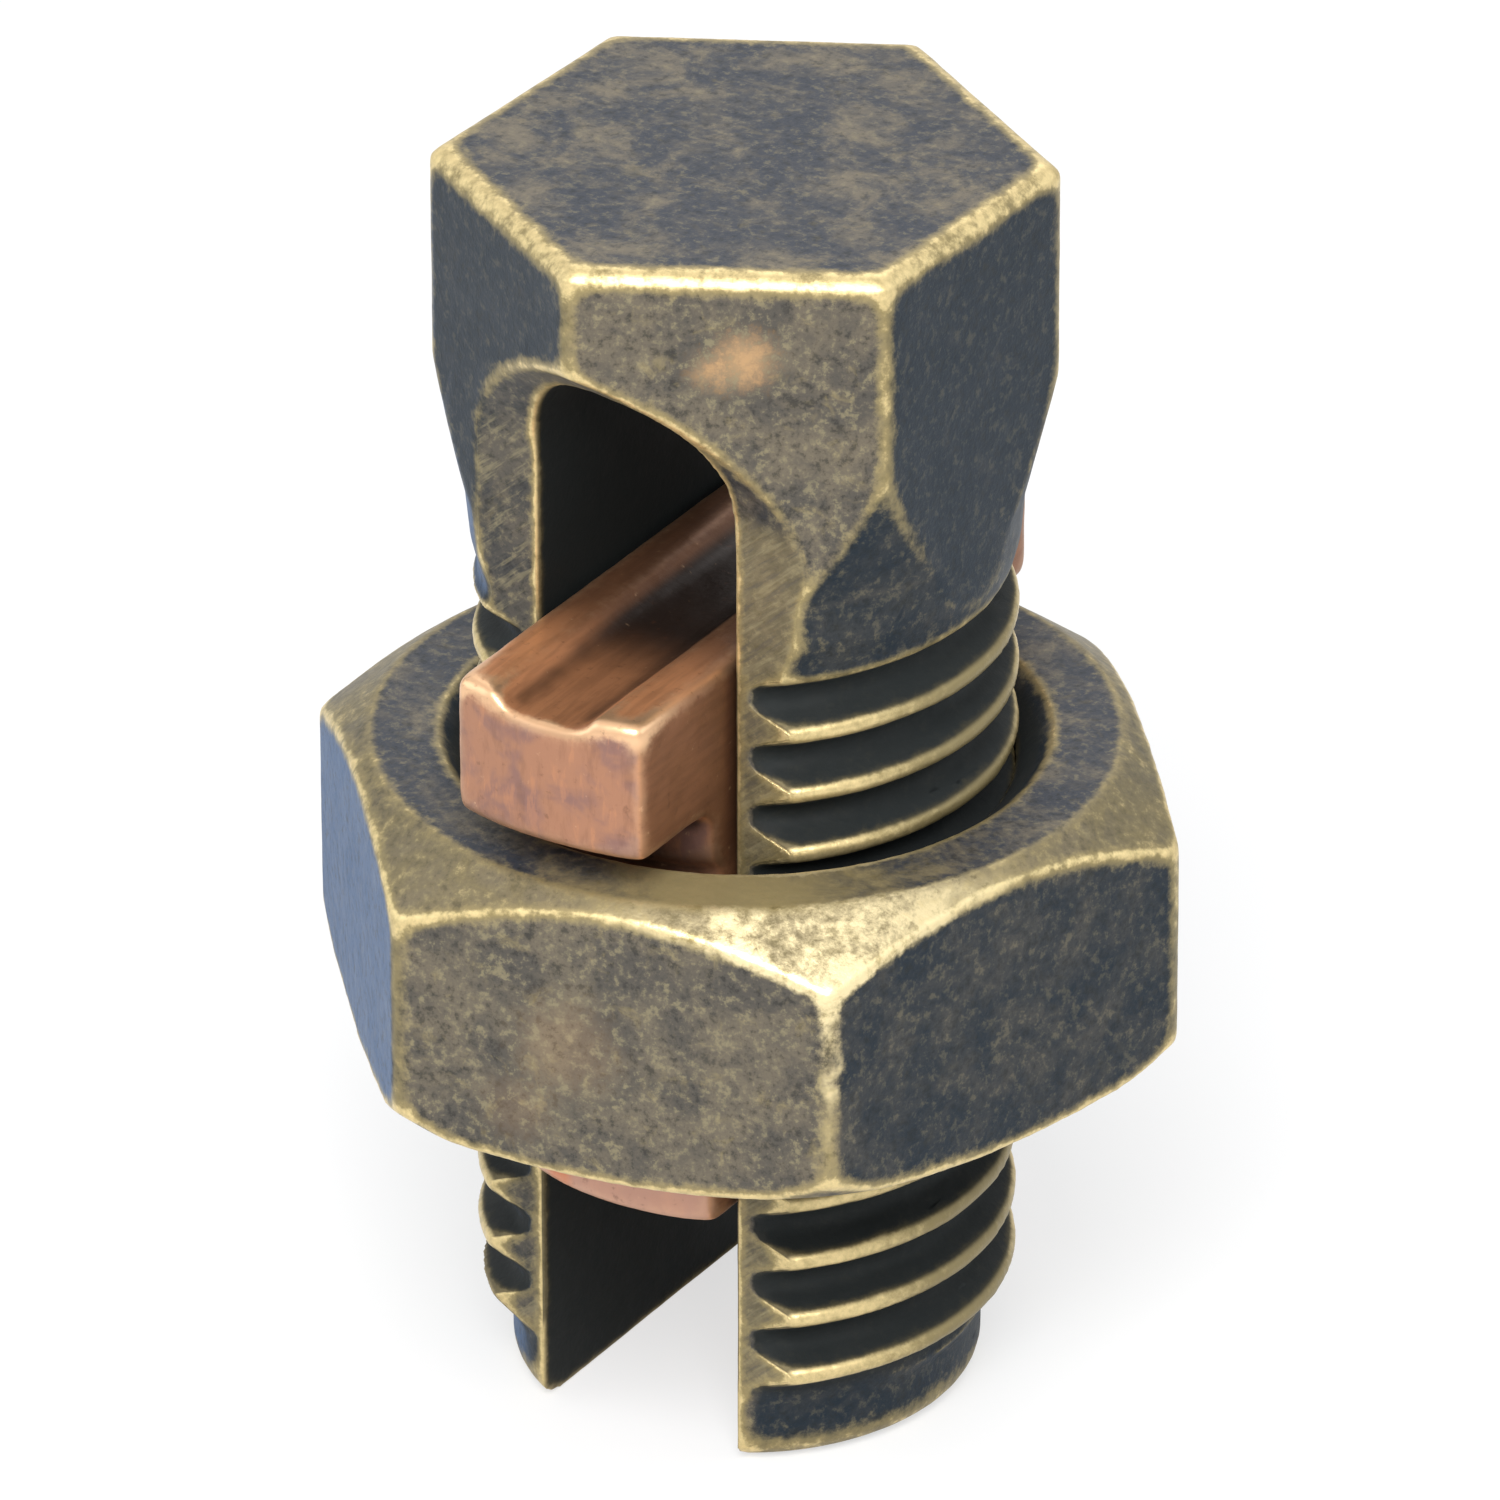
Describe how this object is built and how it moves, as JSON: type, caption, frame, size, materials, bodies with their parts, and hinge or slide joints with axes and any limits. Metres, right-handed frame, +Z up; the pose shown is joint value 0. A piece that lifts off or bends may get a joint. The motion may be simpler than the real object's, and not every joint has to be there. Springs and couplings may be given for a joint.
{
  "type": "split bolt connector",
  "caption": "Slotted hex-head bolt with a hex nut and a captive pressure bar, for clamping electrical conductors side by side in the slot.",
  "frame": {"origin": "on the bolt's axis, at the level of the ends of its two legs", "axes": "+Z up the bolt's axis to the head; the slot runs along Y; X crosses from leg to leg"},
  "size_m": [0.027, 0.0264, 0.0408],
  "materials": {
    "bronze": "dark patina with worn bright edges",
    "nut_bronze": "dark patina with worn bright edges",
    "copper": "dull forged copper"
  },
  "bodies": {
    "bolt": {"split_bolt": "bronze"},
    "bar": {"pressure_bar": "copper"},
    "nut": {"hex_nut": "nut_bronze"}
  },
  "joints": [
    {"name": "bar_slide", "type": "slide", "parent": "bolt", "child": "bar", "axis": [0, 0, 1], "range_m": [-0.01701, 0.00551]},
    {"name": "nut_turn", "type": "hinge", "parent": "bar", "child": "nut", "pos_m": [0, 0, 0.01675], "axis": [0, 0, 1], "range_deg": [-3060, 990]}
  ],
  "couplings": [
    {"joint": "bar_slide", "follows": "nut_turn", "m_per_rad": 0.00031831}
  ]
}
